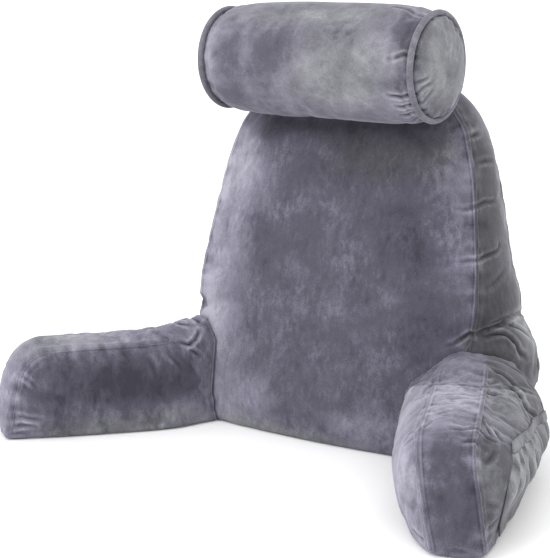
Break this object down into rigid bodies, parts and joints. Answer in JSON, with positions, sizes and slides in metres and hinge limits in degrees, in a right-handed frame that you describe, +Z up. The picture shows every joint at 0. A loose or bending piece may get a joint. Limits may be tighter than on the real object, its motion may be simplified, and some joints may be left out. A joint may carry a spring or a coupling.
{
  "type": "backrest pillow",
  "caption": "Filled velvet reading cushion with a leaning wedge back, splayed arm rests, a neck roll on top and a gathered pocket on one arm.",
  "frame": {"origin": "middle of the footprint box, on the surface that the pillow rests on", "axes": "+X to the sitter's left hand as the pillow is seen from the front on the right, +Y toward the back, +Z up"},
  "size_m": [0.7682, 0.465, 0.5855],
  "materials": {
    "body_velvet": "crushed velvet, matt with a pale nap sheen",
    "roll_velvet": "crushed velvet, paler with the nap",
    "piping_velvet": "velvet covered cord",
    "pocket_velvet": "single velvet cloth, gathered"
  },
  "bodies": {
    "root": {"backrest": "body_velvet", "arm_left": "body_velvet", "arm_right": "body_velvet", "neck_roll": "roll_velvet", "roll_piping_left": "piping_velvet", "roll_piping_right": "piping_velvet", "pocket_right": "pocket_velvet", "pocket_band_right": "pocket_velvet"}
  },
  "joints": []
}
